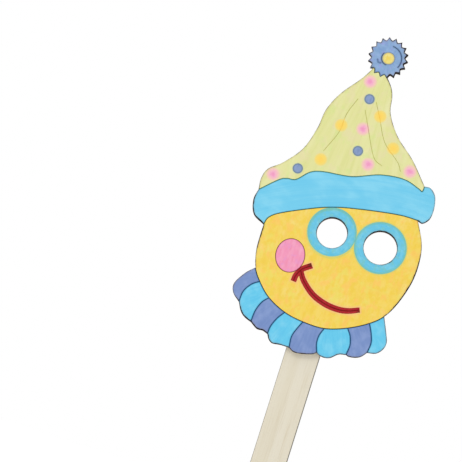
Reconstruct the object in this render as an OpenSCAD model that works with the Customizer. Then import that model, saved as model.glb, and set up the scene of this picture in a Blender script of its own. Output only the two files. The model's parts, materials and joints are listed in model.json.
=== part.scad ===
/* Clown's head on a craft stick: a laser-cut plywood puppet, coloured with marker ink.
   Millimetres. +Z runs up the stick, the face looks along -Y, and +X is to the right of whoever
   looks at the face. The origin is the centre of the stick's lower end. */

/* [Stick] */
// Length of the stick
stick_l = 150; // [140:1:152]
// Width of the stick
stick_w = 19; // [15:0.5:20]
// Thickness of the stick
stick_t = 2; // [1.5:0.1:3]
// Radius of the stick's corners
stick_corner_r = 5; // [1:0.5:7]

/* [Plywood] */
// Thickness of each outer veneer
veneer_t = 0.8; // [0.6:0.1:1.2]
// Thickness of the core between the veneers
core_t = 1.4; // [0.8:0.1:2]
// Thickness of the glue between the stick and the head
glue_t = 0.2; // [0.1:0.05:0.4]
// How far the glue stays inside the stick's edges
glue_inset = 1.5; // [0.5:0.5:3]

/* [Engraving and ink] */
// Width of the main engraved lines, which part the colours
line_w = 0.45; // [0.3:0.05:0.8]
// Depth of the main engraved lines
line_d = 0.3; // [0.1:0.05:0.5]
// Width of the fine lines: the hat's folds, the pompom's strands, the cheek and the smile
fine_w = 0.3; // [0.2:0.05:0.5]
// Depth of the fine lines
fine_d = 0.1; // [0.05:0.05:0.3]
// Thickness of the ink coats
coat_t = 0.1; // [0.05:0.05:0.2]
// Radius of the dots on the hat
dot_r = 2.8; // [2:0.1:3.2]

/* [Eyes] */
// Radius of the left eye hole
eye_left_r = 8.3; // [7:0.1:9]
// Radius of the right eye hole
eye_right_r = 9.1; // [8:0.1:10]
// Width of the painted ring round each eye hole
ring_w = 5.2; // [3:0.1:5.5]

/* [Pompom] */
// Number of teeth
teeth = 18; // [12:1:24]
// Radius at the tips of the teeth
tooth_tip_r = 11.3; // [10:0.1:12]
// Radius at the roots of the teeth
tooth_root_r = 9.5; // [8:0.1:9.8]
// Radius of the spot in the middle
pompom_spot_r = 3.3; // [2:0.1:4]

/* [Hidden] */

// Depths along Y, from the stick's middle out to the face
glue_y = -stick_t/2;
back_y = glue_y - glue_t;
core_y = back_y - veneer_t;
front_y = core_y - core_t;
face_y = front_y - veneer_t;

// Height at which the glue starts
glue_low = 98;

// Curves are drawn with this many short lines between two of their points
STEPS = 6;
// How far a line that reaches the head's edge runs on past it
RUN_OUT = 0.8;

// The hat, from the pompom down to the brim
hat_left = [
    [-8, 259], [-14, 248], [-23, 236], [-28, 225], [-29.5, 213.5],
    [-33.5, 200.5], [-41.5, 190], [-48.5, 184], [-50.5, 178], [-50, 171.5]
];
hat_right = [[-4, 255], [2, 248], [4.5, 242.5], [6.5, 233], [14, 222], [25.5, 212], [36, 200]];
fold_left = [[-13, 236], [-16.5, 226], [-17.5, 215], [-22.5, 202.5]];
fold_middle = [[-7.5, 231], [-3, 222], [2.5, 211], [6, 206], [10.5, 204]];
fold_right = [[-3, 237], [1.5, 229], [8, 217], [18, 208.5], [21, 204]];
pink_dots = [[-9.5, 247], [-5.5, 220.5], [3, 202.5], [-45, 182], [26, 205.5]];
blue_dots = [[-7, 237.5], [-4.5, 208], [-33, 189]];
yellow_dots = [[-17.5, 219], [1.5, 230], [13.5, 215], [-22.5, 197.5]];

// The brim, whose upper line ends in a small notch at the right
brim_top = [
    [-50, 171.5], [-41, 180], [-37, 182], [-32, 183], [-26, 189], [-19, 191.5], [-3.5, 193.5],
    [11, 199], [24, 200.5], [33, 198], [35.5, 197], [36, 200]
];
brim_left = [[-50, 171.5], [-51, 165.5], [-48.5, 158], [-41.5, 154]];
brim_bottom = [
    [-41.5, 154], [-40, 158.5], [-34, 163], [-17, 171], [-5.5, 175], [6, 177.5],
    [17.5, 179.5], [29, 181], [38, 181]
];
brim_right = [[38, 181], [41, 180.5], [44, 184], [44.5, 190], [43, 196.5], [39.5, 200], [36, 200]];

// The face's round outline, and the points of it where the ruffle's pleats start
face_left = [[-41.5, 154], [-41.5, 148], [-41, 139]];
collar = [
    [-38.5, 130], [-34, 123.5], [-26.5, 116.5], [-16, 111.5], [-5, 109.5],
    [7, 109.5], [19, 113.5], [29.5, 119.5], [36, 125.5]
];
face_right = [[41, 134.5], [45, 148], [45.5, 160], [43.5, 170], [38, 181]];

// The ruffle: each pleat's rounded edge, then the line that parts it from the next pleat
pleat_edges = [
    [[-38.5, 130], [-43, 125.5], [-47, 118.5], [-46, 113.5], [-41.5, 109.5]],
    [[-41.5, 109.5], [-39, 105], [-36, 102.5], [-32, 101]],
    [[-32, 101], [-28, 98.5], [-24.5, 98.5], [-21.5, 97.5]],
    [[-21.5, 97.5], [-20, 95], [-17.5, 93.5], [-13, 94], [-8, 94]],
    [[-8, 94], [-5, 92.5], [0, 93], [5, 94.5], [7, 96]],
    [[7, 96], [8.5, 95], [11.5, 94.5], [15, 95.5], [18.5, 98.5], [22.5, 99.5]],
    [[22.5, 99.5], [24, 99], [27.5, 99.5], [30.5, 101], [33, 104]],
    [[33, 104], [37.5, 105], [40.5, 108], [41.5, 112], [40, 116.5], [36, 125.5]]
];
pleat_lines = [
    [[-34, 123.5], [-38, 120.5], [-41, 115.5], [-41.5, 109.5]],
    [[-26.5, 116.5], [-29.5, 113], [-31.5, 107.5], [-32, 101]],
    [[-16, 111.5], [-19, 107], [-21, 102], [-21.5, 97.5]],
    [[-5, 109.5], [-7, 105], [-8.5, 100], [-8, 94]],
    [[7, 109.5], [5.5, 105], [5.5, 100.5], [7, 96]],
    [[19, 113.5], [21.5, 110], [23, 105], [22.5, 99.5]],
    [[29.5, 119.5], [32, 114.5], [33.5, 109.5], [33, 104]]
];

// The face
eye_left = [-4.5, 160.5];
eye_right = [23, 160.5];
ring_left_shift = [-0.2, 0.6];
cheek_at = [-22.5, 142];
cheek_size = [8, 9.3];
cheek_turn = 6;
mouth = [[-14.7, 136], [-11.2, 130.8], [-4.3, 125.2], [4, 122.2], [11.5, 121.6], [17, 122.6], [22, 124.7]];
mouth_ends_w = 2.8;
mouth_middle_w = 3.4;
dimple = [[-16.6, 129.4], [-16.2, 132.8], [-14, 136.8], [-9.8, 140]];
dimple_w = 3.2;
ink_past_line = 0.4;

// The pompom. Its edge is a little taller than wide, and centred a little above its spot. The long arc,
// the hook and the tick are engraved strands, placed from the spot.
pompom_at = [-3.8, 262.4];
pompom_edge_at = [-4, 262.8];
pompom_edge_stretch = [0.98, 1.03];
tooth_turn = 4;
tooth_steps = 6;
tooth_sharpness = 1.5;
seam_teeth = [11, 14];
long_arc_r = 7.2;
long_arc = [85, -28];
hook_gap = 0.5;
hook = [145, 265];
tick = [[-5.6, -2.1], [-4.9, -3.5], [-3.3, -3.7]];

// Point i of the list p. One step past either end, the list is carried straight on.
function point(p, i) =
    i < 0 ? 2*p[0] - p[1] :
    i >= len(p) ? 2*p[len(p) - 1] - p[len(p) - 2] : p[i];

// A point between b and c on the smooth curve through a, b, c and d
function between(a, b, c, d, t) =
    (2*b + (c - a)*t + (2*a - 5*b + 4*c - d)*t*t + (3*b - 3*c + d - a)*t*t*t) / 2;

// The smooth curve through the points p
function curve(p) = [
    for (i = [0:len(p) - 2], k = [0:STEPS - 1])
        between(point(p, i - 1), p[i], p[i + 1], point(p, i + 2), k/STEPS),
    p[len(p) - 1]
];

function reversed(p) = [for (i = [len(p) - 1:-1:0]) p[i]];
function part_of(p, first, last) = [for (i = [first:last]) p[i]];
function moved(p, by) = [for (q = p) q + by];
function unit(v) = v / norm(v);

// The curve p with a straight run added at its start and at its end
function run_out(p, start, end) = concat(
    start > 0 ? [p[0] + start*unit(p[0] - p[1])] : [],
    p,
    end > 0 ? [p[len(p) - 1] + end*unit(p[len(p) - 1] - p[len(p) - 2])] : []
);

function arc(centre, r, from, to) = [
    for (k = [0:4*STEPS]) let (a = from + (to - from)*k/(4*STEPS)) centre + r*[cos(a), sin(a)]
];

function ellipse(centre, size, turn) = [
    for (k = [0:12*STEPS - 1]) let (a = 30*k/STEPS, x = size.x*cos(a), y = size.y*sin(a))
        centre + [x*cos(turn) - y*sin(turn), x*sin(turn) + y*cos(turn)]
];

// The pompom's edge from one tooth to another: pointed tips with round valleys between them
function pompom_edge(first, last) = [
    for (k = [first*tooth_steps:last*tooth_steps])
        let (across = abs(2*(k % tooth_steps)/tooth_steps - 1), a = tooth_turn + 360*k/tooth_steps/teeth)
            pompom_edge_at + (tooth_root_r + (tooth_tip_r - tooth_root_r)*pow(across, tooth_sharpness))
                *[pompom_edge_stretch.x*cos(a), pompom_edge_stretch.y*sin(a)]
];

// The face's outline, and the stretch of it between two pleats
face_outline = curve(concat(face_left, collar, face_right));
function collar_part(first, last) =
    part_of(face_outline, STEPS*(len(face_left) + first), STEPS*(len(face_left) + last));

// The areas between the engraved lines
hat_area = concat(curve(hat_left), curve(brim_top), reversed(curve(hat_right)));
brim_area = concat(curve(brim_left), curve(brim_bottom), curve(brim_right), reversed(curve(brim_top)));
face_area = concat(face_outline, reversed(curve(brim_bottom)));
function pleat_area(i) = concat(
    i > 0 ? curve(pleat_lines[i - 1]) : [],
    curve(pleat_edges[i]),
    i < len(pleat_lines) ? reversed(curve(pleat_lines[i])) : [],
    reversed(collar_part(i, i + 1))
);

// The head's edge, from the pompom down its left side and back up its right
head_edge = concat(
    curve(hat_left),
    curve(brim_left),
    part_of(face_outline, 0, STEPS*len(face_left)),
    [for (edge = pleat_edges) each curve(edge)],
    part_of(face_outline, STEPS*(len(face_left) + len(collar) - 1), len(face_outline) - 1),
    curve(brim_right),
    reversed(curve(hat_right))
);

// A line of width w along the curve p, swelling to mid_w in the middle if that is given
module line(p, w, mid_w = 0) {
    last = len(p) - 1;
    half = [for (i = [0:last]) (w + max(mid_w - w, 0)*sin(180*i/last)) / 2];
    across = [for (i = [0:last]) let (d = unit(point(p, i + 1) - point(p, i - 1))) [-d.y, d.x]];
    left = [for (i = [0:last]) p[i] + half[i]*across[i]];
    right = [for (i = [0:last]) p[i] - half[i]*across[i]];
    polygon(concat(left, reversed(right)));
}

module head_shape() {
    difference() {
        union() {
            polygon(head_edge);
            polygon(pompom_edge(0, teeth));
        }
        eye_holes();
    }
}

module eye_holes() {
    translate(eye_left) circle(eye_left_r, $fn = 96);
    translate(eye_right) circle(eye_right_r, $fn = 96);
}

module cheek_line() {
    difference() {
        polygon(ellipse(cheek_at, cheek_size + [1, 1]*fine_w/2, cheek_turn));
        polygon(ellipse(cheek_at, cheek_size - [1, 1]*fine_w/2, cheek_turn));
    }
}

// The engraved lines that part the colours
module main_lines() {
    line(run_out(curve(brim_top), RUN_OUT, RUN_OUT), line_w);
    line(run_out(curve(brim_bottom), RUN_OUT, RUN_OUT), line_w);
    line(run_out(collar_part(0, len(collar) - 1), RUN_OUT, RUN_OUT), line_w);
    for (p = pleat_lines) line(run_out(curve(p), 0, RUN_OUT), line_w);
    line(pompom_edge(seam_teeth[0], seam_teeth[1]), line_w);
}

// The fine engraved lines, drawn within the colours
module fine_lines() {
    for (p = [fold_left, fold_middle, fold_right, mouth, dimple]) line(curve(p), fine_w);
    cheek_line();
    line(arc(pompom_at, long_arc_r, long_arc[0], long_arc[1]), fine_w);
    line(arc(pompom_at, pompom_spot_r + hook_gap, hook[0], hook[1]), fine_w);
    line(curve(moved(tick, pompom_at)), fine_w);
}

// The shape of the red mark along the smile and its dimple
module mouth_shape() {
    line(run_out(curve(mouth), ink_past_line, ink_past_line), mouth_ends_w, mouth_middle_w);
    line(run_out(curve(dimple), ink_past_line, ink_past_line), dimple_w);
}

module ring_left_shape() {
    translate(eye_left + ring_left_shift) circle(eye_left_r + ring_w, $fn = 96);
}

module ring_right_shape() {
    translate(eye_right) circle(eye_right_r + ring_w, $fn = 96);
}

module dots(places) {
    for (p = places) translate(p) circle(dot_r, $fn = 48);
}

// Stands a flat shape up in the XZ plane, with its back at depth y and its front t nearer the viewer
module upright(y, t) {
    translate([0, y, 0]) rotate([90, 0, 0]) linear_extrude(t) children();
}

// A flat bar with round corners, from z = low to z = high
module bar(w, low, high, r) {
    translate([-w/2, low + r]) square([w, high - low - 2*r]);
    translate([-w/2 + r, low]) square([w - 2*r, high - low]);
    for (x = [r - w/2, w/2 - r], z = [low + r, high - r]) translate([x, z]) circle(r, $fn = 64);
}

// An ink coat over the given shape, with gaps at the engraved lines and the eye holes
module coat() {
    upright(face_y, coat_t) difference() {
        children();
        main_lines();
        fine_lines();
        eye_holes();
    }
}

module handle_stick() {
    color("#e0d8c4") upright(stick_t/2, stick_t) bar(stick_w, 0, stick_l, stick_corner_r);
}

// The glue starts a little above the ruffle's lowest edge and stops just short of the stick's upper end
module glue_film() {
    color("#efe9d2") upright(glue_y, glue_t)
        bar(stick_w - 2*glue_inset, glue_low, stick_l - glue_inset, stick_corner_r - glue_inset);
}

module back_veneer() {
    color("#e6dcc0") upright(back_y, veneer_t) head_shape();
}

module core_veneer() {
    color("#c9ab7c") upright(core_y, core_t) head_shape();
}

module front_veneer() {
    color("#e6dcc0") difference() {
        upright(front_y, veneer_t) head_shape();
        upright(face_y + line_d, 2*line_d) main_lines();
        upright(face_y + fine_d, 2*fine_d) fine_lines();
    }
}

module pompom_coat() {
    color("#87a5d7") coat() difference() {
        polygon(pompom_edge(0, teeth));
        translate(pompom_at) circle(pompom_spot_r, $fn = 64);
    }
}

module pompom_spot_coat() {
    color("#ead97f") coat() translate(pompom_at) circle(pompom_spot_r, $fn = 64);
}

module hat_coat() {
    color("#dddc99") coat() difference() {
        polygon(hat_area);
        polygon(pompom_edge(0, teeth));
        dots(concat(pink_dots, blue_dots, yellow_dots));
    }
}

module pink_dots_coat() {
    color("#f0afc8") coat() dots(pink_dots);
}

module blue_dots_coat() {
    color("#829bd7") coat() dots(blue_dots);
}

module yellow_dots_coat() {
    color("#facd5f") coat() dots(yellow_dots);
}

module brim_coat() {
    color("#82d4f0") coat() polygon(brim_area);
}

module face_coat() {
    color("#f3d166") coat() difference() {
        polygon(face_area);
        ring_left_shape();
        ring_right_shape();
        mouth_shape();
        polygon(ellipse(cheek_at, cheek_size, cheek_turn));
    }
}

module left_eye_ring_coat() {
    color("#72c5e5") coat() intersection() {
        ring_left_shape();
        polygon(face_area);
    }
}

module right_eye_ring_coat() {
    color("#72c5e5") coat() difference() {
        ring_right_shape();
        ring_left_shape();
    }
}

module cheek_coat() {
    color("#f098ae") coat() difference() {
        polygon(ellipse(cheek_at, cheek_size, cheek_turn));
        mouth_shape();
    }
}

module mouth_coat() {
    color("#a8182c") coat() mouth_shape();
}

module ruffle_coat(i) {
    color(i % 2 == 1 ? "#8098c6" : "#80cfe8") coat() polygon(pleat_area(i - 1));
}

handle_stick();
glue_film();
back_veneer();
core_veneer();
front_veneer();
pompom_coat();
pompom_spot_coat();
hat_coat();
pink_dots_coat();
blue_dots_coat();
yellow_dots_coat();
brim_coat();
face_coat();
left_eye_ring_coat();
right_eye_ring_coat();
cheek_coat();
mouth_coat();
for (i = [1:8]) ruffle_coat(i);
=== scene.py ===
"""A clown's head of engraved, ink-coloured plywood on a craft stick, with every surface finished."""

import json
import math

import bpy
import numpy as np
from mathutils import Matrix, Vector, kdtree
from mathutils import noise as value_noise
from mathutils.geometry import delaunay_2d_cdt


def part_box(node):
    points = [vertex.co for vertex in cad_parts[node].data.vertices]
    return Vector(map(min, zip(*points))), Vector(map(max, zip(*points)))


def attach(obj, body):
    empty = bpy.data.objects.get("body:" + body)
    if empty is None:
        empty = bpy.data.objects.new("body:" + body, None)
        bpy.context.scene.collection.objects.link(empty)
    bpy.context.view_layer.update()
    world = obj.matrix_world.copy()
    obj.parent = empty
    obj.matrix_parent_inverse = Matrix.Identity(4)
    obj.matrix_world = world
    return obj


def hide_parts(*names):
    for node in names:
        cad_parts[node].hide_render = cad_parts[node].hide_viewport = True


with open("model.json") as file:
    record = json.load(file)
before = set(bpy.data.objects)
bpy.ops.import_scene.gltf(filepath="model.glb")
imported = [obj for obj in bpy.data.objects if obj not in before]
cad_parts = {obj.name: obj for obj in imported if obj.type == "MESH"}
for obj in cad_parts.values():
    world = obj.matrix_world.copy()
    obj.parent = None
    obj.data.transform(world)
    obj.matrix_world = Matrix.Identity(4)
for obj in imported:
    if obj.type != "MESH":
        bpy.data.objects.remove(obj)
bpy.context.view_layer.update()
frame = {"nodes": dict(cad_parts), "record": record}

MM = 0.001
NODES = frame["nodes"]
PLEATS = [f"ruffle_coat_{i}" for i in range(1, 9)]


# ---------------------------------------------------------------- places, all read from the frame

def middle(node):
    """The middle of a node's box."""
    low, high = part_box(node)
    return (low + high) / 2


def mount(name):
    """A mount as the record gives it."""
    return next(m for m in frame["record"]["mounts"] if m["name"] == name)


def flat_point(vector):
    """A place in the frame as (x, z) in millimetres."""
    return vector.x / MM, vector.z / MM


LEFT_EYE = Vector(mount("left_eye_hole")["pos_m"])
RIGHT_EYE = Vector(mount("right_eye_hole")["pos_m"])
LEFT_EYE_R = mount("left_eye_hole")["dims"]["r_mm"] * MM
RIGHT_EYE_R = mount("right_eye_hole")["dims"]["r_mm"] * MM
POMPOM = middle("pompom_spot_coat")
FACE = middle("face_coat")
WOOD_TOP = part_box("front_veneer")[0].y


# ---------------------------------------------------------------- colours

def colour(code):
    """A screen colour such as "#f3d166", as the linear numbers that the shaders take."""
    parts = [int(code[i:i + 2], 16) / 255 for i in (1, 3, 5)]
    return tuple(((c + 0.055) / 1.055) ** 2.4 if c > 0.04045 else c / 12.92 for c in parts) + (1.0,)


CHAR = "#1a100a"
SCORCH = "#8f6a43"
INK = {
    "pompom_coat": "#85a6cc", "pompom_spot_coat": "#ecd878", "hat_coat": "#dfde9a",
    "pink_dots_coat": "#f2aecb", "blue_dots_coat": "#889cc2", "yellow_dots_coat": "#f8d766",
    "brim_coat": "#72caea", "face_coat": "#f2d25e",
    "left_eye_ring_coat": "#66c2e2", "right_eye_ring_coat": "#66c2e2",
    "cheek_coat": "#f096b8", "mouth_coat": "#ac161f",
}
INK.update({name: ("#7890c4", "#66c8ea")[i % 2] for i, name in enumerate(PLEATS)})


# ---------------------------------------------------------------- flat pieces

SAME_DEPTH = 0.01 * MM   # points of one flat face differ less than this in depth
WELD = 1e-5              # points nearer than this, in millimetres, become one
ROW_GAP = 0.87           # between a staggered grid's rows, as a share of its spacing
GRID_CLEARANCE = 0.45    # between the grid and the outline, as a share of its spacing
RIM_CLEARANCE = 0.85     # between a rim's points and the outline, as a share of the rim's depth
RIM_RINGS = (0.3, 1.0)   # how deep the rings of points lie that round an edge, in its radii
RIDGES = (0.55, 0.035)   # how many of the wood's low ridges a millimetre crosses, across and along
RIDGE_SLICE = 4.2        # where the ridges' noise is cut


def outline(node):
    """The loops of points (x, z), in millimetres, that bound a flat node's foremost face."""
    mesh = NODES[node].data
    front = min(v.co.y for v in mesh.vertices)
    corners = [(round(v.co.x / MM, 4), round(v.co.z / MM, 4)) for v in mesh.vertices]
    flat = [abs(v.co.y - front) < SAME_DEPTH for v in mesh.vertices]
    edges = set()
    for face in mesh.polygons:
        ids = list(face.vertices)
        if all(flat[i] for i in ids):
            edges.update((corners[a], corners[b]) for a, b in zip(ids, ids[1:] + ids[:1]))
    following = {}
    for a, b in sorted(edges):
        if (b, a) not in edges:
            following.setdefault(a, []).append(b)
    loops = []
    while following:
        start = here = min(following)
        loop = []
        while here in following:
            loop.append(here)
            ends = following[here]
            there = ends.pop()
            if not ends:
                del following[here]
            here = there
            if here == start:
                break
        loops.append(np.array(loop))
    return loops


def finer(loop, step):
    """The same loop with its long sides cut into runs no longer than step."""
    points = []
    for a, b in zip(loop, np.roll(loop, -1, axis=0)):
        cuts = max(1, math.ceil(np.linalg.norm(b - a) / step))
        points += [a + (b - a) * k / cuts for k in range(cuts)]
    return np.array(points)


def distance_to(points, loops):
    """How far each point is from the nearest side of the loops."""
    nearest = np.full(len(points), np.inf)
    for loop in loops:
        for a, b in zip(loop, np.roll(loop, -1, axis=0)):
            along = b - a
            share = np.clip((points - a) @ along / max(along @ along, 1e-12), 0, 1)
            gap = points - a - share[:, None] * along
            nearest = np.minimum(nearest, np.einsum("ij,ij->i", gap, gap))
    return np.sqrt(nearest)


def inside(points, loops):
    """Which points the loops enclose, by the even-odd rule."""
    result = np.zeros(len(points), bool)
    for loop in loops:
        for (x0, z0), (x1, z1) in zip(loop, np.roll(loop, -1, axis=0)):
            if z0 != z1:
                crosses = (points[:, 1] < z0) != (points[:, 1] < z1)
                at = x0 + (points[:, 1] - z0) * (x1 - x0) / (z1 - z0)
                result ^= crosses & (points[:, 0] < at)
    return result


def grid_inside(loops, spacing):
    """A staggered grid of points inside the loops, clear of their sides."""
    everything = np.concatenate(loops)
    low, high = everything.min(0), everything.max(0)
    rows = np.arange(low[1], high[1], spacing * ROW_GAP)
    points = np.array([
        (x, z) for k, z in enumerate(rows)
        for x in np.arange(low[0] + (k % 2) * spacing / 2, high[0], spacing)
    ])
    points = points[inside(points, loops)]
    return points[distance_to(points, loops) > GRID_CLEARANCE * spacing]


def rim_inside(loops, depth):
    """Points at one depth inside the loops, which carry the rounding of the edge."""
    points = []
    for loop in loops:
        along = np.roll(loop, -1, axis=0) - np.roll(loop, 1, axis=0)
        inward = np.stack([-along[:, 1], along[:, 0]], 1) / np.linalg.norm(along, axis=1)[:, None]
        points.append(loop + depth * inward)
    points = np.concatenate(points)
    points = points[inside(points, loops)]
    return points[distance_to(points, loops) > RIM_CLEARANCE * depth]


def grain_relief(x, z):
    """Low ridges that run up the wood, from -1 to 1."""
    return value_noise.noise(Vector((x * RIDGES[0], z * RIDGES[1], RIDGE_SLICE)))


def filled(loops, round_r, spacing):
    """Points and triangles that fill the loops, fine enough for relief and for rounded edges."""
    points = [np.concatenate(loops)]
    sides, first = [], 0
    for loop in loops:
        sides += [(first + k, first + (k + 1) % len(loop)) for k in range(len(loop))]
        first += len(loop)
    if round_r > 0:
        points += [rim_inside(loops, round_r * share) for share in RIM_RINGS]
    points.append(grid_inside(loops, spacing))
    points = [Vector(p) for p in np.concatenate(points)]
    points, _, triangles, _, _, _ = delaunay_2d_cdt(points, sides, [], 1, WELD)
    points = np.array(points)
    centres = np.array([points[list(t)].mean(0) for t in triangles])
    return points, [tuple(t) for t, keep in zip(triangles, inside(centres, loops)) if keep]


def plate(name, loops, front, back, round_r, spacing, relief, materials, smooth=True):
    """A flat piece cut to the loops, with a wall, rounded edges and relief on both its faces.
    Loops, round_r, spacing and relief are in millimetres, front and back in metres. Of two
    materials, the second is the wall's. The attribute "edge" holds each point's distance from the
    outline, in millimetres."""
    loops = [finer(loop, spacing) for loop in loops]
    flat, triangles = filled(loops, round_r, spacing)
    edge = distance_to(flat, loops)
    short = np.clip(1 - edge / max(round_r, 1e-6), 0, 1)
    drop = round_r * (1 - np.sqrt(1 - short ** 2)) * MM
    lift = relief * MM * np.array([grain_relief(x, z) for x, z in flat]) * (edge >= round_r)
    count = len(flat)
    verts = [(x * MM, front + d - r, z * MM) for (x, z), d, r in zip(flat, drop, lift)]
    verts += [(x * MM, back - d + r, z * MM) for (x, z), d, r in zip(flat, drop, lift)]
    faces = triangles + [(c + count, b + count, a + count) for a, b, c in triangles]
    directed = {(t[k], t[(k + 1) % 3]) for t in triangles for k in range(3)}
    rim = sorted((a, b) for a, b in directed if (b, a) not in directed)
    faces += [(b, a, a + count, b + count) for a, b in rim]
    mesh = bpy.data.meshes.new(name)
    mesh.from_pydata(verts, [], faces)
    for k, material in enumerate(materials):
        mesh.materials.append(material)
    walls = len(faces) - len(rim)
    if len(materials) > 1:
        mesh.polygons.foreach_set("material_index", [int(k >= walls) for k in range(len(faces))])
    mesh.polygons.foreach_set("use_smooth", [smooth] * len(faces))
    store(mesh, "edge", np.concatenate([edge, edge]))
    mesh.update()
    piece = bpy.data.objects.new(name, mesh)
    bpy.context.scene.collection.objects.link(piece)
    return piece


def store(mesh, name, values):
    """Saves one number for each of the mesh's points."""
    mesh.attributes.new(name, "FLOAT", "POINT").data.foreach_set("value", values.astype(np.float32))


def stand_for(piece, node):
    """The piece takes a CAD node's place: it joins the root body, and the node is hidden."""
    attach(piece, "root")
    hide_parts(node)
    return piece


# ---------------------------------------------------------------- a small language for finishes

NOISE_ROUGHNESS = 0.55


class Finish:
    """One material. Each method adds nodes and returns the socket that carries the result.
    Lengths are in millimetres."""

    def __init__(self, name, roughness, specular):
        self.material = bpy.data.materials.new(name)
        self.material.use_nodes = True
        self.tree = self.material.node_tree
        self.shader = self.tree.nodes["Principled BSDF"]
        self.shader.inputs["Roughness"].default_value = roughness
        self.shader.inputs["Specular IOR Level"].default_value = specular
        metres = self.add("ShaderNodeTexCoord").outputs["Object"]
        self.place = self.vector("SCALE", metres, Scale=1 / MM)

    def add(self, kind, inputs=(), **settings):
        node = self.tree.nodes.new(kind)
        for key, value in settings.items():
            setattr(node, key, value)
        for key, value in dict(inputs).items():
            if isinstance(value, bpy.types.NodeSocket):
                self.tree.links.new(value, node.inputs[key])
            else:
                node.inputs[key].default_value = colour(value) if isinstance(value, str) else value
        return node

    def vector(self, operation, a, b=None, **more):
        inputs = {0: a, **more}
        if b is not None:
            inputs[1] = b
        node = self.add("ShaderNodeVectorMath", inputs, operation=operation)
        number = operation in ("LENGTH", "DISTANCE")
        return node.outputs["Value" if number else "Vector"]

    def math(self, operation, a, b):
        return self.add("ShaderNodeMath", {0: a, 1: b}, operation=operation).outputs[0]

    def step(self, value, low, high, start=0.0, end=1.0):
        """Goes smoothly from start to end as the value goes from low to high."""
        inputs = {"Value": value, "From Min": low, "From Max": high, "To Min": start, "To Max": end}
        return self.add("ShaderNodeMapRange", inputs, interpolation_type="SMOOTHSTEP").outputs[0]

    def mix(self, share, a, b):
        return self.add("ShaderNodeMix", {0: share, 6: a, 7: b}, data_type="RGBA").outputs[2]

    def noise(self, size, seed, detail=2, place=None):
        """Cloudy noise whose spots are about size = (x, y, z) big."""
        scaled = self.vector("DIVIDE", place or self.place, size)
        moved = self.vector("ADD", scaled, (seed, seed * 1.7, seed * 0.6))
        inputs = {"Vector": moved, "Scale": 1.0, "Detail": detail, "Roughness": NOISE_ROUGHNESS}
        return self.add("ShaderNodeTexNoise", inputs).outputs["Fac"]

    def polar(self, centre, reach):
        """The place as (distance round the centre at the radius reach, 0, distance from the centre)."""
        offset = self.vector("SUBTRACT", self.place, (centre[0], 0, centre[1]))
        flat = self.vector("MULTIPLY", offset, (1, 0, 1))
        parts = self.add("ShaderNodeSeparateXYZ", {0: flat}).outputs
        turn = self.math("ARCTAN2", parts["X"], self.math("MULTIPLY", parts["Z"], -1.0))
        radius = self.vector("LENGTH", flat)
        around = self.math("MULTIPLY", turn, reach)
        return self.add("ShaderNodeCombineXYZ", {"X": around, "Z": radius}).outputs[0]

    def from_point(self, centre):
        """Distance from a point of the face's plane."""
        flat = self.vector("MULTIPLY", self.place, (1, 0, 1))
        return self.vector("DISTANCE", flat, (centre[0], 0, centre[1]))

    def from_nearest(self, centres):
        """Distance from the nearest of some points of the face's plane."""
        distance = self.from_point(centres[0])
        for centre in centres[1:]:
            distance = self.math("MINIMUM", distance, self.from_point(centre))
        return distance

    def stored(self, name):
        """A number that the mesh carries for each of its points."""
        return self.add("ShaderNodeAttribute", attribute_name=name).outputs["Fac"]

    def paint(self, value):
        self.tree.links.new(value, self.shader.inputs["Base Color"])

    def bump(self, height, depth):
        """Raises and sinks the surface by depth."""
        node = self.add("ShaderNodeBump", {"Height": height, "Distance": depth * MM, "Strength": 1.0})
        self.tree.links.new(node.outputs[0], self.shader.inputs["Normal"])


# ---------------------------------------------------------------- wood

# The black line along an edge, in millimetres, which is painted shade of the side that faces down. It
# fades between two distances from the edge, after a shift has been added to the distance. The shift
# widens the painted shade from left to right, between two places
EDGE_SHADE_LINE = (0.12, 0.4)
EDGE_SHADE_LINE_TURN = (-4, 4)
EDGE_SHADE_LINE_SHIFT = (0.05, -0.19)


def grain_lines(finish):
    """The fine lines of the wood, which run up the piece."""
    fine = finish.noise((0.35, 1, 16), 3.1, detail=3)
    broad = finish.noise((2.2, 1, 70), 7.7)
    return finish.math("ADD", finish.math("MULTIPLY", fine, 0.6), finish.math("MULTIPLY", broad, 0.4))


def bare_wood(name, pale, mid, dark, scorched=0.0, rim=0.0):
    """Pale smooth wood with growth bands, fine lines and short pores. Scorched is how brown it is
    towards its edges. Rim is how black the line along its edges is, a line of painted shade which is
    wider on the right."""
    finish = Finish(name, roughness=0.62, specular=0.2)
    bands = finish.noise((5, 1, 160), 1.3, detail=3)
    tone = finish.mix(finish.step(bands, 0.35, 0.68), pale, mid)
    lines = grain_lines(finish)
    tone = finish.mix(finish.step(lines, 0.5, 0.72, 0, 0.55), tone, dark)
    pores = finish.step(finish.noise((0.22, 1, 2.6), 5.5, detail=1), 0.66, 0.74, 0, 0.35)
    tone = finish.mix(pores, tone, dark)
    if scorched:
        edge = finish.math("ADD", finish.stored("edge"), finish.noise((3, 1, 6), 9.1))
        near = finish.step(edge, 0.55, 3.2, scorched, 0)
        tone = finish.mix(near, tone, SCORCH)
    # Painted shade: a black line along the edges, wider on the right.
    if rim:
        sideways = finish.add("ShaderNodeSeparateXYZ", {0: finish.place}).outputs["X"]
        shift = finish.step(sideways, *EDGE_SHADE_LINE_TURN, *EDGE_SHADE_LINE_SHIFT)
        edge = finish.math("ADD", finish.stored("edge"), shift)
        tone = finish.mix(finish.step(edge, *EDGE_SHADE_LINE, rim, 0), tone, CHAR)
    finish.paint(tone)
    finish.bump(finish.math("SUBTRACT", lines, pores), 0.02)
    return finish.material


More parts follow.
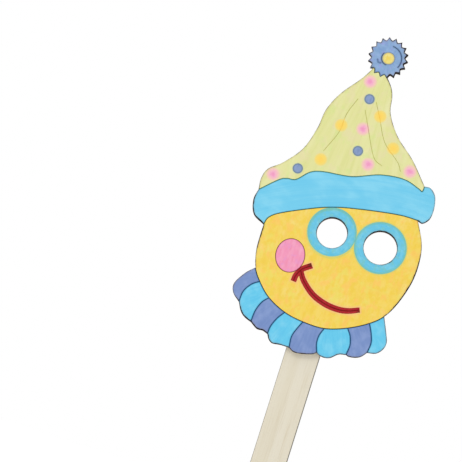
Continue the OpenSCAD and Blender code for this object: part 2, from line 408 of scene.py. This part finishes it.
def burnt_edge(name, light, dark):
    """A laser's cut through wood: dark, with streaks through the thickness."""
    finish = Finish(name, roughness=0.75, specular=0.08)
    streaks = finish.noise((0.45, 9, 0.45), 2.2, detail=3)
    patches = finish.noise((7, 7, 7), 6.4)
    tone = finish.mix(finish.step(streaks, 0.35, 0.68), dark, light)
    finish.paint(finish.mix(finish.step(patches, 0.4, 0.7, 0, 0.5), tone, dark))
    finish.bump(streaks, 0.05)
    return finish.material


def engraved_line():
    """The bottoms and sides of the engraved lines, each stained by the inks beside it."""
    finish = Finish("engraved_line", roughness=0.8, specular=0.1)
    stain = finish.add("ShaderNodeAttribute", attribute_name="stain").outputs["Color"]
    soot = finish.step(finish.noise((0.8, 1, 0.8), 4.1), 0.5, 0.8, 0, 0.25)
    finish.paint(finish.mix(soot, stain, CHAR))
    finish.bump(finish.noise((0.3, 1, 0.3), 8.0), 0.03)
    return finish.material


# ---------------------------------------------------------------- inks

# In millimetres: the radii of the hat's dots and of the pompom's spot, the width of the eyes' rings
DOT_R = 2.8
SPOT_R = 3.3
RING_W = (RIGHT_EYE.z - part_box("right_eye_ring_coat")[0].z - RIGHT_EYE_R) / MM

SAME_DOT = 2.1           # points nearer to each other than this many radii belong to one dot
MOUTH_END_IN = ((0.6, 0.6), (0.2, 1.2))  # from the ends' outermost points to the middle of the ink

# How far from a cut the wood is black, in millimetres: on most inks, on the hat, and in the eyes' rings
CHAR_REACH = 0.34
THIN_CHAR = 0.26
RING_CHAR = 0.5

# The places where the cut edge is painted blacker around them, partly char and partly painted shade
# of the cut walls: the brim's lower left, the face's right, the pompom's right and the third pleat's
# lower left. The distance to the cut gets a shift added, which changes between two distances from the
# nearest of these places
CHAR_AND_SHADE_SPOTS = [
    flat_point(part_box("brim_coat")[0]),
    flat_point(Vector((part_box("face_coat")[1].x, 0, FACE.z))),
    flat_point(Vector((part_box("pompom_coat")[1].x, 0, POMPOM.z))),
    flat_point(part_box("ruffle_coat_3")[0]),
]
CHAR_AND_SHADE_REACH = (8, 24)
CHAR_AND_SHADE_SHIFT = (-0.38, 0.06)

# The same for painted shade at the top of an eye hole, where the hole's inner wall is shaded, by the
# distance from the hole's top in the hole's radii
HOLE_SHADE_REACH = (0.5, 1.8)
HOLE_SHADE_SHIFT = (-0.22, 0.14)

# The points that the marker's strokes fan out from or go round, and how far away their size is right
HAT_FAN = (flat_point(POMPOM + Vector((0, 0, 40 * MM))), 90)
BRIM_FAN = ((36.0, 35.0), 150)
RUFFLE_FAN = (flat_point(FACE), 50)
POMPOM_FAN = (flat_point(POMPOM), 8)
RING_FAN_REACH = 11


def washed(finish, base, pale, deep, strokes=None, *, stroke, blot, seed):
    """Marker ink: soft patches, strokes laid side by side, and the wood's lines showing through.
    Strokes is the place that the strokes follow, stroke the size of one and blot that of a patch."""
    patches = finish.noise(blot, seed + 1.9)
    tone = finish.mix(finish.step(patches, 0.42, 0.72, 0, 0.45), base, pale)
    laid = finish.noise(stroke, seed + 4.7, place=strokes)
    tone = finish.mix(finish.step(laid, 0.48, 0.7, 0, 0.36), tone, deep)
    tone = finish.mix(finish.step(laid, 0.3, 0.44, 0.2, 0), tone, pale)
    lines = finish.step(grain_lines(finish), 0.5, 0.7, 0, 0.1)
    return finish.mix(lines, tone, deep)


def blotched(finish, tone, code, share, size, seed, above, detail=3):
    """Adds cloudy patches of another colour, as strong as share. They come in between two levels of
    the noise, above."""
    cloud = finish.noise(size, seed, detail)
    return finish.mix(finish.step(cloud, *above, 0, share), tone, code)


def pooled(finish, tone, rim, reach, share):
    """Darkens the ink where it has gathered along the edges of its field. Rim is its colour there."""
    near = finish.step(finish.stored("edge"), 0.05, reach, share, 0)
    return finish.mix(near, tone, rim)


def ragged(finish, distance, seed, by):
    """The distance with small irregularities, as a blunt marker leaves them."""
    cloud = finish.noise((1.2, 1, 1.2), seed)
    return finish.math("ADD", distance, finish.step(cloud, 0.3, 0.7, -by, by))


def ink_finish(name):
    """A new finish for an ink, which ink_material completes."""
    return Finish(name, roughness=0.58, specular=0.22)


def ink_material(finish, tone, char=CHAR_REACH, shift=0.0):
    """Paints the ink on, over wood whose lines can be felt and whose cut edges are scorched. Char is
    how far from the cut the wood is black, and a shift below 0 makes the black wider."""
    wander = finish.step(finish.noise((2.5, 1, 2.5), 30.0), 0.3, 0.7, -0.12, 0.12)
    # Painted shade: near the places listed above, and where a shift below 0 comes in, the black along the
    # cut is wider.
    char_and_shade = finish.step(finish.from_nearest(CHAR_AND_SHADE_SPOTS), *CHAR_AND_SHADE_REACH, *CHAR_AND_SHADE_SHIFT)
    shifts = finish.math("ADD", finish.math("ADD", wander, char_and_shade), shift)
    from_cut = finish.math("ADD", finish.stored("from_cut"), shifts)
    tone = finish.mix(finish.step(from_cut, 0.3, 1.2, 0.22, 0), tone, SCORCH)
    finish.paint(finish.mix(finish.step(from_cut, 0.45 * char, char, 1, 0), tone, CHAR))
    finish.bump(grain_lines(finish), 0.02)
    return finish.material


def dot_centres(node):
    """The middles of a node's dots. A line that crosses a dot leaves parts, which belong together."""
    groups = []
    for point in np.concatenate(outline(node)):
        near = [g for g in groups if np.linalg.norm(g[0] - point) < SAME_DOT * DOT_R]
        if near:
            near[0].append(point)
        else:
            groups.append([point])
    return [(np.min(g, axis=0) + np.max(g, axis=0)) / 2 for g in groups]


# The rims of the dots' inks in the hat's ink: colour, width in millimetres and strength
HALOS = {
    "pink_dots_coat": ("#f2c4bc", 1.5, 0.85),
    "yellow_dots_coat": ("#f2d672", 1.2, 0.9),
    "blue_dots_coat": ("#b4c2a8", 0.7, 0.6),
}
DOTS = {node: dot_centres(node) for node in HALOS}


def hat_ink():
    finish = ink_finish("hat_ink")
    strokes = finish.polar(*HAT_FAN)
    tone = washed(
        finish, INK["hat_coat"], "#eae7b6", "#cfd283", strokes,
        stroke=(2.2, 1, 40), blot=(8, 1, 22), seed=2.0,
    )
    tone = blotched(finish, tone, "#e4d8ac", 0.5, size=(6, 1, 8), seed=33, above=(0.5, 0.66))
    tone = blotched(finish, tone, "#d3e08e", 0.5, size=(5, 1, 7), seed=37, above=(0.52, 0.68))
    for node, (halo, reach, share) in HALOS.items():
        away = finish.from_nearest(DOTS[node])
        tone = finish.mix(finish.step(away, DOT_R, DOT_R + reach, share, 0), tone, halo)
    return ink_material(finish, tone, THIN_CHAR)


def pink_dots_ink():
    finish = ink_finish("pink_dots_ink")
    away = ragged(finish, finish.from_nearest(DOTS["pink_dots_coat"]), 3.3, 0.4)
    tone = finish.mix(finish.step(away, 1.2, DOT_R, 0, 0.9), INK["pink_dots_coat"], "#f2c4bc")
    tone = finish.mix(finish.step(away, 0.2, 1.9, 0.5, 0), tone, "#e884b0")
    return ink_material(finish, tone)


def yellow_dots_ink():
    finish = ink_finish("yellow_dots_ink")
    away = ragged(finish, finish.from_nearest(DOTS["yellow_dots_coat"]), 6.3, 0.3)
    tone = finish.mix(finish.step(away, 1.5, DOT_R, 0, 0.95), INK["yellow_dots_coat"], "#f2d672")
    tone = finish.mix(finish.step(away, 0.3, 2.2, 0.4, 0), tone, "#fbca58")
    return ink_material(finish, tone)


def blue_dots_ink():
    finish = ink_finish("blue_dots_ink")
    away = finish.from_nearest(DOTS["blue_dots_coat"])
    tone = washed(
        finish, INK["blue_dots_coat"], "#8aa2d4", "#5c76a8",
        stroke=(1, 1, 3), blot=(3, 1, 3), seed=5.0,
    )
    tone = finish.mix(finish.step(away, DOT_R - 1.1, DOT_R - 0.2, 0, 0.7), tone, "#5c7488")
    return ink_material(finish, tone)


def brim_ink():
    finish = ink_finish("brim_ink")
    strokes = finish.polar(*BRIM_FAN)
    tone = washed(
        finish, INK["brim_coat"], "#94dbf2", "#62c2e8", strokes,
        stroke=(34, 1, 1.7), blot=(14, 1, 7), seed=8.0,
    )
    return ink_material(finish, pooled(finish, tone, "#3f8fa8", 0.6, 0.5))


def face_ink():
    """The face's yellow, redder round the mouth and greener round the eyes' rings."""
    finish = ink_finish("face_ink")
    tone = washed(
        finish, INK["face_coat"], "#f4dc8a", "#eec04a",
        stroke=(2.4, 1, 9), blot=(6, 1, 8), seed=1.0,
    )
    tone = blotched(finish, tone, "#eecb42", 0.55, size=(2, 1, 2.6), seed=24, above=(0.4, 0.62))
    tone = blotched(finish, tone, "#fac464", 0.6, size=(5, 1, 6), seed=12, above=(0.5, 0.66))
    tone = blotched(finish, tone, "#e9dc68", 0.5, size=(5, 1, 6), seed=17, above=(0.54, 0.68))
    halo = finish.step(finish.stored("from_mouth"), 0.1, 1.5, 0.55, 0)
    tone = finish.mix(halo, tone, "#f6b48c")
    for eye, eye_r in ((LEFT_EYE, LEFT_EYE_R), (RIGHT_EYE, RIGHT_EYE_R)):
        away = finish.from_point(flat_point(eye))
        outer = eye_r / MM + RING_W
        tone = finish.mix(finish.step(away, outer, outer + 1.2, 0.6, 0), tone, "#c2cc72")
    return ink_material(finish, tone)


def ring_ink(name, eye, eye_r, other_eye, other_r):
    """A ring's blue, greener at its rim and darker where the other ring's ink reaches it. The black
    round the hole is widest at its top, as painted shade of the hole's wall. The radii are in
    millimetres."""
    finish = ink_finish(name)
    strokes = finish.polar(flat_point(eye), RING_FAN_REACH)
    tone = washed(
        finish, INK["left_eye_ring_coat"], "#8fd6e6", "#55b3d0", strokes,
        stroke=(5, 1, 0.7), blot=(3.5, 1, 3.5), seed=eye_r,
    )
    tone = blotched(finish, tone, "#7cc4bc", 0.55, size=(2.5, 1, 2.5), seed=26, above=(0.5, 0.68), detail=2)
    away = finish.from_point(flat_point(eye))
    outer = eye_r + RING_W
    tone = finish.mix(finish.step(away, outer - 1.8, outer, 0, 0.65), tone, "#74b894")
    other = finish.from_point(flat_point(other_eye))
    other_outer = other_r + RING_W
    tone = finish.mix(finish.step(other, other_outer - 0.6, other_outer + 0.3, 0.5, 0), tone, "#5cabb4")
    # Painted shade: the black round the hole widens towards its top, where the hole's wall is shaded.
    top = (eye.x / MM, eye.z / MM + eye_r)
    near, far = (eye_r * reach for reach in HOLE_SHADE_REACH)
    hole_shade = finish.step(finish.from_point(top), near, far, *HOLE_SHADE_SHIFT)
    return ink_material(finish, tone, RING_CHAR, hole_shade)


def cheek_ink():
    finish = ink_finish("cheek_ink")
    tone = washed(
        finish, INK["cheek_coat"], "#f6b6cb", "#e5809c",
        stroke=(1.4, 1, 7), blot=(4, 1, 5), seed=3.0,
    )
    tone = blotched(finish, tone, "#e39ad0", 0.45, size=(3, 1, 3), seed=21, above=(0.54, 0.72), detail=2)
    return ink_material(finish, pooled(finish, tone, "#b9526c", 0.5, 0.55))


def mouth_ends():
    """The smile's right end and the dimple's upper end, where the ink turns brown."""
    points = np.concatenate(outline("mouth_coat"))
    tips = (points[points[:, 0].argmax()], points[points[:, 1].argmax()])
    return [tip - inset for tip, inset in zip(tips, MOUTH_END_IN)]


def mouth_ink():
    finish = ink_finish("mouth_ink")
    tone = washed(
        finish, INK["mouth_coat"], "#ba2c34", "#8c1218",
        stroke=(1, 1, 3), blot=(3, 1, 3), seed=6.0,
    )
    tone = pooled(finish, tone, "#741014", 0.45, 0.6)
    browned = finish.step(finish.from_nearest(mouth_ends()), 0.4, 2.0, 0.75, 0)
    return ink_material(finish, finish.mix(browned, tone, "#5a2410"))


def pleat_ink(name, code, pale, deep):
    finish = ink_finish(name)
    strokes = finish.polar(*RUFFLE_FAN)
    tone = washed(finish, code, pale, deep, strokes, stroke=(1.3, 1, 12), blot=(5, 1, 6), seed=9.0)
    return ink_material(finish, pooled(finish, tone, "#2c6c9c", 0.6, 0.55))


def pompom_ink():
    finish = ink_finish("pompom_ink")
    strokes = finish.polar(*POMPOM_FAN)
    tone = washed(
        finish, INK["pompom_coat"], "#9db9e4", "#6c8dc8", strokes,
        stroke=(1.6, 1, 5), blot=(4, 1, 4), seed=4.0,
    )
    tone = blotched(finish, tone, "#9a95dc", 0.5, size=(3.2, 1, 3.2), seed=15, above=(0.52, 0.7), detail=2)
    return ink_material(finish, pooled(finish, tone, "#46587c", 0.7, 0.6), THIN_CHAR)


def pompom_spot_ink():
    finish = ink_finish("pompom_spot_ink")
    away = finish.from_point(flat_point(POMPOM))
    tone = washed(
        finish, INK["pompom_spot_coat"], "#f2e6a0", "#e4bd4c",
        stroke=(1, 1, 3), blot=(2, 1, 2), seed=2.5,
    )
    tone = finish.mix(finish.step(away, 0.2, 2.0, 0.6, 0), tone, "#eccc48")
    tone = finish.mix(finish.step(away, SPOT_R - 1, SPOT_R, 0, 0.6), tone, "#a8a37a")
    return ink_material(finish, tone)


# ---------------------------------------------------------------- the pieces

CUT_LOOPS = outline("back_veneer")
CUT = burnt_edge("cut_edge", "#1e130c", "#0b0704")
CORE_CUT = burnt_edge("core_cut_edge", "#3e2a1c", "#1c120b")
HIDDEN_WOOD = bare_wood("inner_wood", "#dcc59a", "#cdb182", "#b08d5c")

# In millimetres: how far the wood's ridges rise, and the radii of rounded edges
INK_RELIEF = 0.012
STICK_RELIEF = 0.02
STICK_ROUND = 0.18
BACK_ROUND = 0.08
GLUE_ROUND = 0.08


def coat_piece(node, material, spacing):
    """An ink coat, flush with the coats beside it. Spacing is its triangles' size in millimetres."""
    low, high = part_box(node)
    name = node.replace("_coat", "_ink_coat")
    piece = plate(
        name, outline(node), low.y, high.y,
        round_r=0, spacing=spacing, relief=INK_RELIEF, materials=[material], smooth=False,
    )
    store_distance(piece, "from_cut", CUT_LOOPS)
    return stand_for(piece, node)


def store_distance(piece, name, loops):
    """Stores how far each of the piece's points is from the loops."""
    points = np.array([(v.co.x / MM, v.co.z / MM) for v in piece.data.vertices])
    store(piece.data, name, distance_to(points, loops))


def coats():
    """All the fields of ink. The finer a field's outline, the smaller its triangles."""
    coat_piece("hat_coat", hat_ink(), 0.8)
    coat_piece("pink_dots_coat", pink_dots_ink(), 0.5)
    coat_piece("blue_dots_coat", blue_dots_ink(), 0.5)
    coat_piece("yellow_dots_coat", yellow_dots_ink(), 0.5)
    coat_piece("brim_coat", brim_ink(), 0.8)
    face = coat_piece("face_coat", face_ink(), 0.8)
    store_distance(face, "from_mouth", outline("mouth_coat"))
    left = (LEFT_EYE, LEFT_EYE_R / MM)
    right = (RIGHT_EYE, RIGHT_EYE_R / MM)
    coat_piece("left_eye_ring_coat", ring_ink("left_ring_ink", *left, *right), 0.6)
    coat_piece("right_eye_ring_coat", ring_ink("right_ring_ink", *right, *left), 0.6)
    coat_piece("cheek_coat", cheek_ink(), 0.6)
    coat_piece("mouth_coat", mouth_ink(), 0.4)
    coat_piece("pompom_coat", pompom_ink(), 0.6)
    coat_piece("pompom_spot_coat", pompom_spot_ink(), 0.5)
    periwinkle = pleat_ink("periwinkle_ink", INK["ruffle_coat_1"], "#94a8d6", "#6b84ba")
    sky = pleat_ink("sky_ink", INK["ruffle_coat_2"], "#90daf2", "#58bce6")
    for i, node in enumerate(PLEATS):
        coat_piece(node, (periwinkle, sky)[i % 2], 0.7)


def plain_veneer(node, face, edge, spacing, round_r):
    """A veneer without engraving. Face and edge are its materials."""
    low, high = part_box(node)
    name = node.replace("veneer", "ply")
    piece = plate(
        name, outline(node), low.y, high.y,
        round_r=round_r, spacing=spacing, relief=0, materials=[face, edge], smooth=round_r > 0,
    )
    return stand_for(piece, node)


# The stains of the engraved lines. Lengths are in millimetres
STAIN_STEP = 0.5         # between the points of the coats' outlines
STAIN_POINTS = 24        # how many of them are looked at round a place
STAIN_REACH = 0.9        # how far an ink runs into a line
TICK_FROM = 4.5          # the pompom's tick is farther than this from the middle of its spot

# A line's colour is a power of the ink's, which keeps its hue and deepens it
DEEP, FAINT, FAINTEST = 1.7, 1.2, 1.12

# How light a line is then: within one ink by the coat, and between two inks, which are multiplied, by
# the first words of the coats' names
LINE_SHARE = {"hat_coat": 0.9, "pompom_coat": 0.45, "mouth_coat": 1.1}
OTHER_LINE = 0.6
BORDER_SHARE = {
    "brim hat": 0.65, "brim face": 0.25, "cheek face": 0.12, "face mouth": 0.25, "face left": 0.25,
    "face right": 0.25, "face ruffle": 0.12, "ruffle ruffle": 0.42,
}
OTHER_BORDER = 0.5


def stains():
    """A search tree of points along the coats' outlines, and the coat that each belongs to."""
    owners, places = [], []
    for node in INK:
        for loop in outline(node):
            for x, z in finer(loop, STAIN_STEP):
                owners.append(node)
                places.append(Vector((x, 0, z)))
    tree = kdtree.KDTree(len(places))
    for k, place in enumerate(places):
        tree.insert(place, k)
    tree.balance()
    return tree, owners


def stain_at(tree, owners, x, z):
    """The colour of an engraved line: one ink where it crosses a field, or else the inks of both its
    sides, which ran together in it. Yellow dots and the pompom's tick show hardly any line."""
    beside = []
    for _, k, away in tree.find_n(Vector((x, 0, z)), STAIN_POINTS):
        if owners[k] not in beside and away < STAIN_REACH:
            beside.append(owners[k])
    beside = beside[:2] or ["hat_coat"]
    inks = [np.array(colour(INK[node])[:3]) for node in beside]
    in_tick = x < POMPOM.x / MM and math.dist((x, z), flat_point(POMPOM)) > TICK_FROM
    if "yellow_dots_coat" in beside:
        stain = inks[beside.index("yellow_dots_coat")] ** FAINTEST
    elif all(node == "hat_coat" or "dots" in node for node in beside):
        stain = LINE_SHARE["hat_coat"] * np.mean(inks, axis=0) ** DEEP
    elif beside == ["pompom_coat"] and in_tick:
        stain = inks[0] ** FAINT
    elif len(beside) == 1:
        stain = LINE_SHARE.get(beside[0], OTHER_LINE) * inks[0] ** DEEP
    else:
        pair = " ".join(sorted(node.split("_")[0] for node in beside))
        stain = BORDER_SHARE.get(pair, OTHER_BORDER) * inks[0] * inks[1]
    return tuple(stain) + (1.0,)


ENGRAVED = engraved_line()
VENEER_FINISHES = (HIDDEN_WOOD, ENGRAVED, CUT)
LYING = 0.9              # a face lies flat if this much of its normal points forwards or backwards
LINE_BOTTOM = (0.05 * MM, 0.5 * MM)  # a flat face between these depths is the bottom of a line
ON_CUT = 0.03            # a wall nearer than this to the outline, in millimetres, is a cut edge


def front_veneer():
    """The engraved veneer keeps its CAD shape: its lines get their stains, its sides their burn."""
    mesh = NODES["front_veneer"].data.copy()
    mesh.name = "front_ply"
    mesh.materials.clear()
    for material in VENEER_FINISHES:
        mesh.materials.append(material)
    points = np.array([(v.co.x / MM, v.co.z / MM) for v in mesh.vertices])
    from_cut = distance_to(points, CUT_LOOPS)
    for face in mesh.polygons:
        if abs(face.normal.y) > LYING:
            in_line = LINE_BOTTOM[0] < face.center.y - WOOD_TOP < LINE_BOTTOM[1]
            finish = ENGRAVED if in_line else HIDDEN_WOOD
        else:
            on_cut = max(from_cut[i] for i in face.vertices) < ON_CUT
            finish = CUT if on_cut else ENGRAVED
        face.material_index = VENEER_FINISHES.index(finish)
    tree, owners = stains()
    stain = mesh.attributes.new("stain", "FLOAT_COLOR", "POINT")
    for k, (x, z) in enumerate(points):
        stain.data[k].color = stain_at(tree, owners, x, z)
    piece = bpy.data.objects.new("front_ply", mesh)
    bpy.context.scene.collection.objects.link(piece)
    return stand_for(piece, "front_veneer")


def stick():
    """The craft stick. Its side has the dark finish of the head's cut edges, and a black line of painted
    shade runs along its edge, wider on the right.
    """
    low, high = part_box("handle_stick")
    # rim paints a black line of shade along the stick's edges.
    face = bare_wood("stick_wood", "#e2dbc9", "#ded6c1", "#cdc0a4", rim=0.75)
    side = burnt_edge("stick_edge", "#32241a", "#1a110b")
    piece = plate(
        "craft_stick", outline("handle_stick"), low.y, high.y,
        round_r=STICK_ROUND, spacing=0.7, relief=STICK_RELIEF, materials=[face, side],
    )
    return stand_for(piece, "handle_stick")


def glue():
    """The dried glue between the stick and the head."""
    low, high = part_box("glue_film")
    finish = Finish("dried_glue", roughness=0.35, specular=0.5)
    cloud = finish.noise((2.5, 1, 2.5), 1.1, detail=3)
    finish.paint(finish.mix(finish.step(cloud, 0.35, 0.7), "#efe6c4", "#dccb98"))
    finish.bump(cloud, 0.05)
    piece = plate(
        "glue_layer", outline("glue_film"), low.y, high.y,
        round_r=GLUE_ROUND, spacing=1.0, relief=0, materials=[finish.material],
    )
    return stand_for(piece, "glue_film")


coats()
front_veneer()
plain_veneer("core_veneer", HIDDEN_WOOD, CORE_CUT, spacing=4.0, round_r=0)
back_wood = bare_wood("back_wood", "#efe5cd", "#e6d8b8", "#cdb388", scorched=0.75)
plain_veneer("back_veneer", back_wood, CUT, spacing=1.0, round_r=BACK_ROUND)
stick()
glue()


# ---------------------------------------------------------------- floor, light and camera

PICTURE_W = 252.1 * MM   # how wide the picture is at the puppet
AIM = Vector((-57.35, -4.3, 145.1)) * MM
LEAN = math.radians(17.75)
FROM_BELOW = math.radians(8)
FROM_RIGHT = math.radians(2.4)
DISTANCE = 1.12
SENSOR = 36.0            # in millimetres, as Blender has it
SKY = 0.66
KEY_PLACE = Vector((-0.5, -1.1, 0.9))
KEY_AIM = Vector((0, 0, 0.15))
KEY_SIZE = 0.5
KEY_POWER = 3.2
FLOOR_REACH = 6.0
FLOOR_GLOW = 0.45


def camera():
    """Looks at the puppet as it leans to the right, from a little below and to the right."""
    right = Vector((math.cos(LEAN), 0, math.sin(LEAN)))
    up = Vector((-math.sin(LEAN), 0, math.cos(LEAN)))
    ahead = Vector((0, 1, 0))
    towards = -ahead + right * math.tan(FROM_RIGHT) - up * math.tan(FROM_BELOW)
    place = AIM + towards.normalized() * DISTANCE
    back = (place - AIM).normalized()
    across = up.cross(back).normalized()
    data = bpy.data.cameras.new("camera")
    data.sensor_width = SENSOR
    data.lens = SENSOR * DISTANCE / PICTURE_W
    view = bpy.data.objects.new("camera", data)
    turn = Matrix((across, back.cross(across), back)).transposed().to_4x4()
    view.matrix_world = Matrix.Translation(place) @ turn
    bpy.context.scene.collection.objects.link(view)
    bpy.context.scene.camera = view


def key_light():
    """A round lamp to the left of the camera and above it."""
    data = bpy.data.lights.new("key", "AREA")
    data.energy = KEY_POWER
    data.shape = "DISK"
    data.size = KEY_SIZE
    light = bpy.data.objects.new("key", data)
    light.location = KEY_PLACE
    light.rotation_euler = (KEY_AIM - KEY_PLACE).to_track_quat("-Z", "Y").to_euler()
    bpy.context.scene.collection.objects.link(light)


def background():
    """A sky that is white in the picture, and lights things more softly than that."""
    world = bpy.data.worlds.new("studio")
    bpy.context.scene.world = world
    world.use_nodes = True
    tree = world.node_tree
    tree.nodes["Background"].inputs["Color"].default_value = (1, 1, 1, 1)
    seen = tree.nodes.new("ShaderNodeLightPath").outputs["Is Camera Ray"]
    strength = tree.nodes.new("ShaderNodeMapRange")
    strength.inputs["To Min"].default_value = SKY
    tree.links.new(seen, strength.inputs["Value"])
    tree.links.new(strength.outputs[0], tree.nodes["Background"].inputs["Strength"])


def floor():
    """A white floor that glows a little, so that it doesn't turn grey in the picture."""
    mesh = bpy.data.meshes.new("floor")
    signs = ((-1, -1), (1, -1), (1, 1), (-1, 1))
    mesh.from_pydata([(x * FLOOR_REACH, y * FLOOR_REACH, 0) for x, y in signs], [], [(0, 1, 2, 3)])
    piece = bpy.data.objects.new("floor", mesh)
    finish = Finish("white_floor", roughness=0.9, specular=0.0)
    white = finish.mix(finish.noise((400, 400, 400), 0.5), "#ffffff", "#fbfbfb")
    finish.paint(white)
    finish.tree.links.new(white, finish.shader.inputs["Emission Color"])
    finish.shader.inputs["Emission Strength"].default_value = FLOOR_GLOW
    mesh.materials.append(finish.material)
    bpy.context.scene.collection.objects.link(piece)


camera()
background()
key_light()
floor()
bpy.context.scene.view_settings.view_transform = "Standard"
